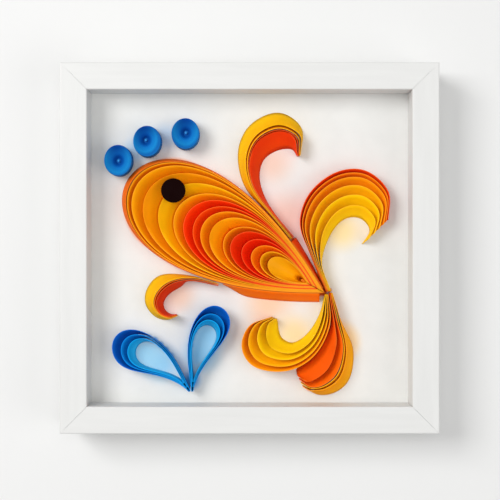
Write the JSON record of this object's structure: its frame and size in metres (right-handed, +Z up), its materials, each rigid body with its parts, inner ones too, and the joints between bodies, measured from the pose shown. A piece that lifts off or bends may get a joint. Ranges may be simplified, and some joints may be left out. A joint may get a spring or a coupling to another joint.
{
  "type": "framed quilled paper picture",
  "caption": "Quilled paper picture of a goldfish with bubbles and leaves: coloured paper strips on edge on a white card, at the back of a deep white box frame.",
  "frame": {"origin": "middle of the frame's underside, half way between its face and the hanger's back", "axes": "+X to the viewer's right, +Y away from the viewer, into the wall, +Z up"},
  "size_m": [0.23, 0.037, 0.225],
  "materials": {
    "white_lacquer": "satin",
    "white_card": "matte",
    "brown_board": "matte",
    "steel": "satin",
    "brassed_steel": "satin",
    "deep_red_paper": "matte",
    "red_paper": "matte",
    "orange_red_paper": "matte",
    "dark_orange_paper": "matte",
    "orange_paper": "matte",
    "light_orange_paper": "matte",
    "amber_paper": "matte",
    "yellow_paper": "matte",
    "dark_blue_paper": "matte",
    "mid_blue_paper": "matte",
    "light_blue_paper": "matte",
    "black_paper": "matte"
  },
  "bodies": {
    "root": {"top_rail": "white_lacquer", "bottom_rail": "white_lacquer", "left_rail": "white_lacquer", "right_rail": "white_lacquer", "corner_nails": "steel", "picture_card": "white_card", "back_board": "brown_board", "board_tabs": "steel", "sawtooth_hanger": "brassed_steel", "hanger_pins": "brassed_steel", "back_edge_strip": "deep_red_paper", "belly_edge_strip": "dark_orange_paper", "eye_coil": "black_paper", "body_strip_1": "dark_orange_paper", "body_strip_2": "orange_paper", "body_strip_3": "orange_paper", "body_strip_4": "light_orange_paper", "body_strip_5": "yellow_paper", "body_strip_6": "dark_orange_paper", "body_strip_7": "red_paper", "body_strip_8": "red_paper", "body_strip_9": "orange_paper", "body_strip_10": "light_orange_paper", "body_strip_11": "orange_red_paper", "body_strip_12": "deep_red_paper", "body_strip_13": "red_paper", "body_strip_14": "orange_red_paper", "body_strip_15": "orange_paper", "body_strip_16": "amber_paper", "dorsal_fin_strip_1": "yellow_paper", "dorsal_fin_strip_2": "orange_paper", "dorsal_fin_strip_3": "deep_red_paper", "dorsal_fin_strip_4": "red_paper", "tail_fin_strip_1": "deep_red_paper", "tail_fin_strip_2": "orange_red_paper", "tail_fin_strip_3": "dark_orange_paper", "tail_fin_strip_4": "orange_paper", "tail_fin_strip_5": "amber_paper", "tail_fin_strip_6": "yellow_paper", "tail_scroll_strip_1": "orange_paper", "tail_scroll_strip_2": "light_orange_paper", "tail_scroll_strip_3": "amber_paper", "tail_scroll_strip_4": "yellow_paper", "tail_lobe_strip_1": "yellow_paper", "tail_lobe_strip_2": "amber_paper", "tail_lobe_strip_3": "red_paper", "tail_lobe_strip_4": "orange_red_paper", "belly_fin_strip_1": "yellow_paper", "belly_fin_strip_2": "orange_red_paper", "belly_fin_strip_3": "deep_red_paper", "left_leaf_strip_1": "dark_blue_paper", "left_leaf_strip_2": "mid_blue_paper", "left_leaf_strip_3": "light_blue_paper", "right_leaf_strip_1": "dark_blue_paper", "right_leaf_strip_2": "mid_blue_paper", "right_leaf_strip_3": "light_blue_paper", "bubble_coil_1": "mid_blue_paper", "bubble_coil_2": "mid_blue_paper", "bubble_coil_3": "mid_blue_paper"}
  },
  "joints": []
}
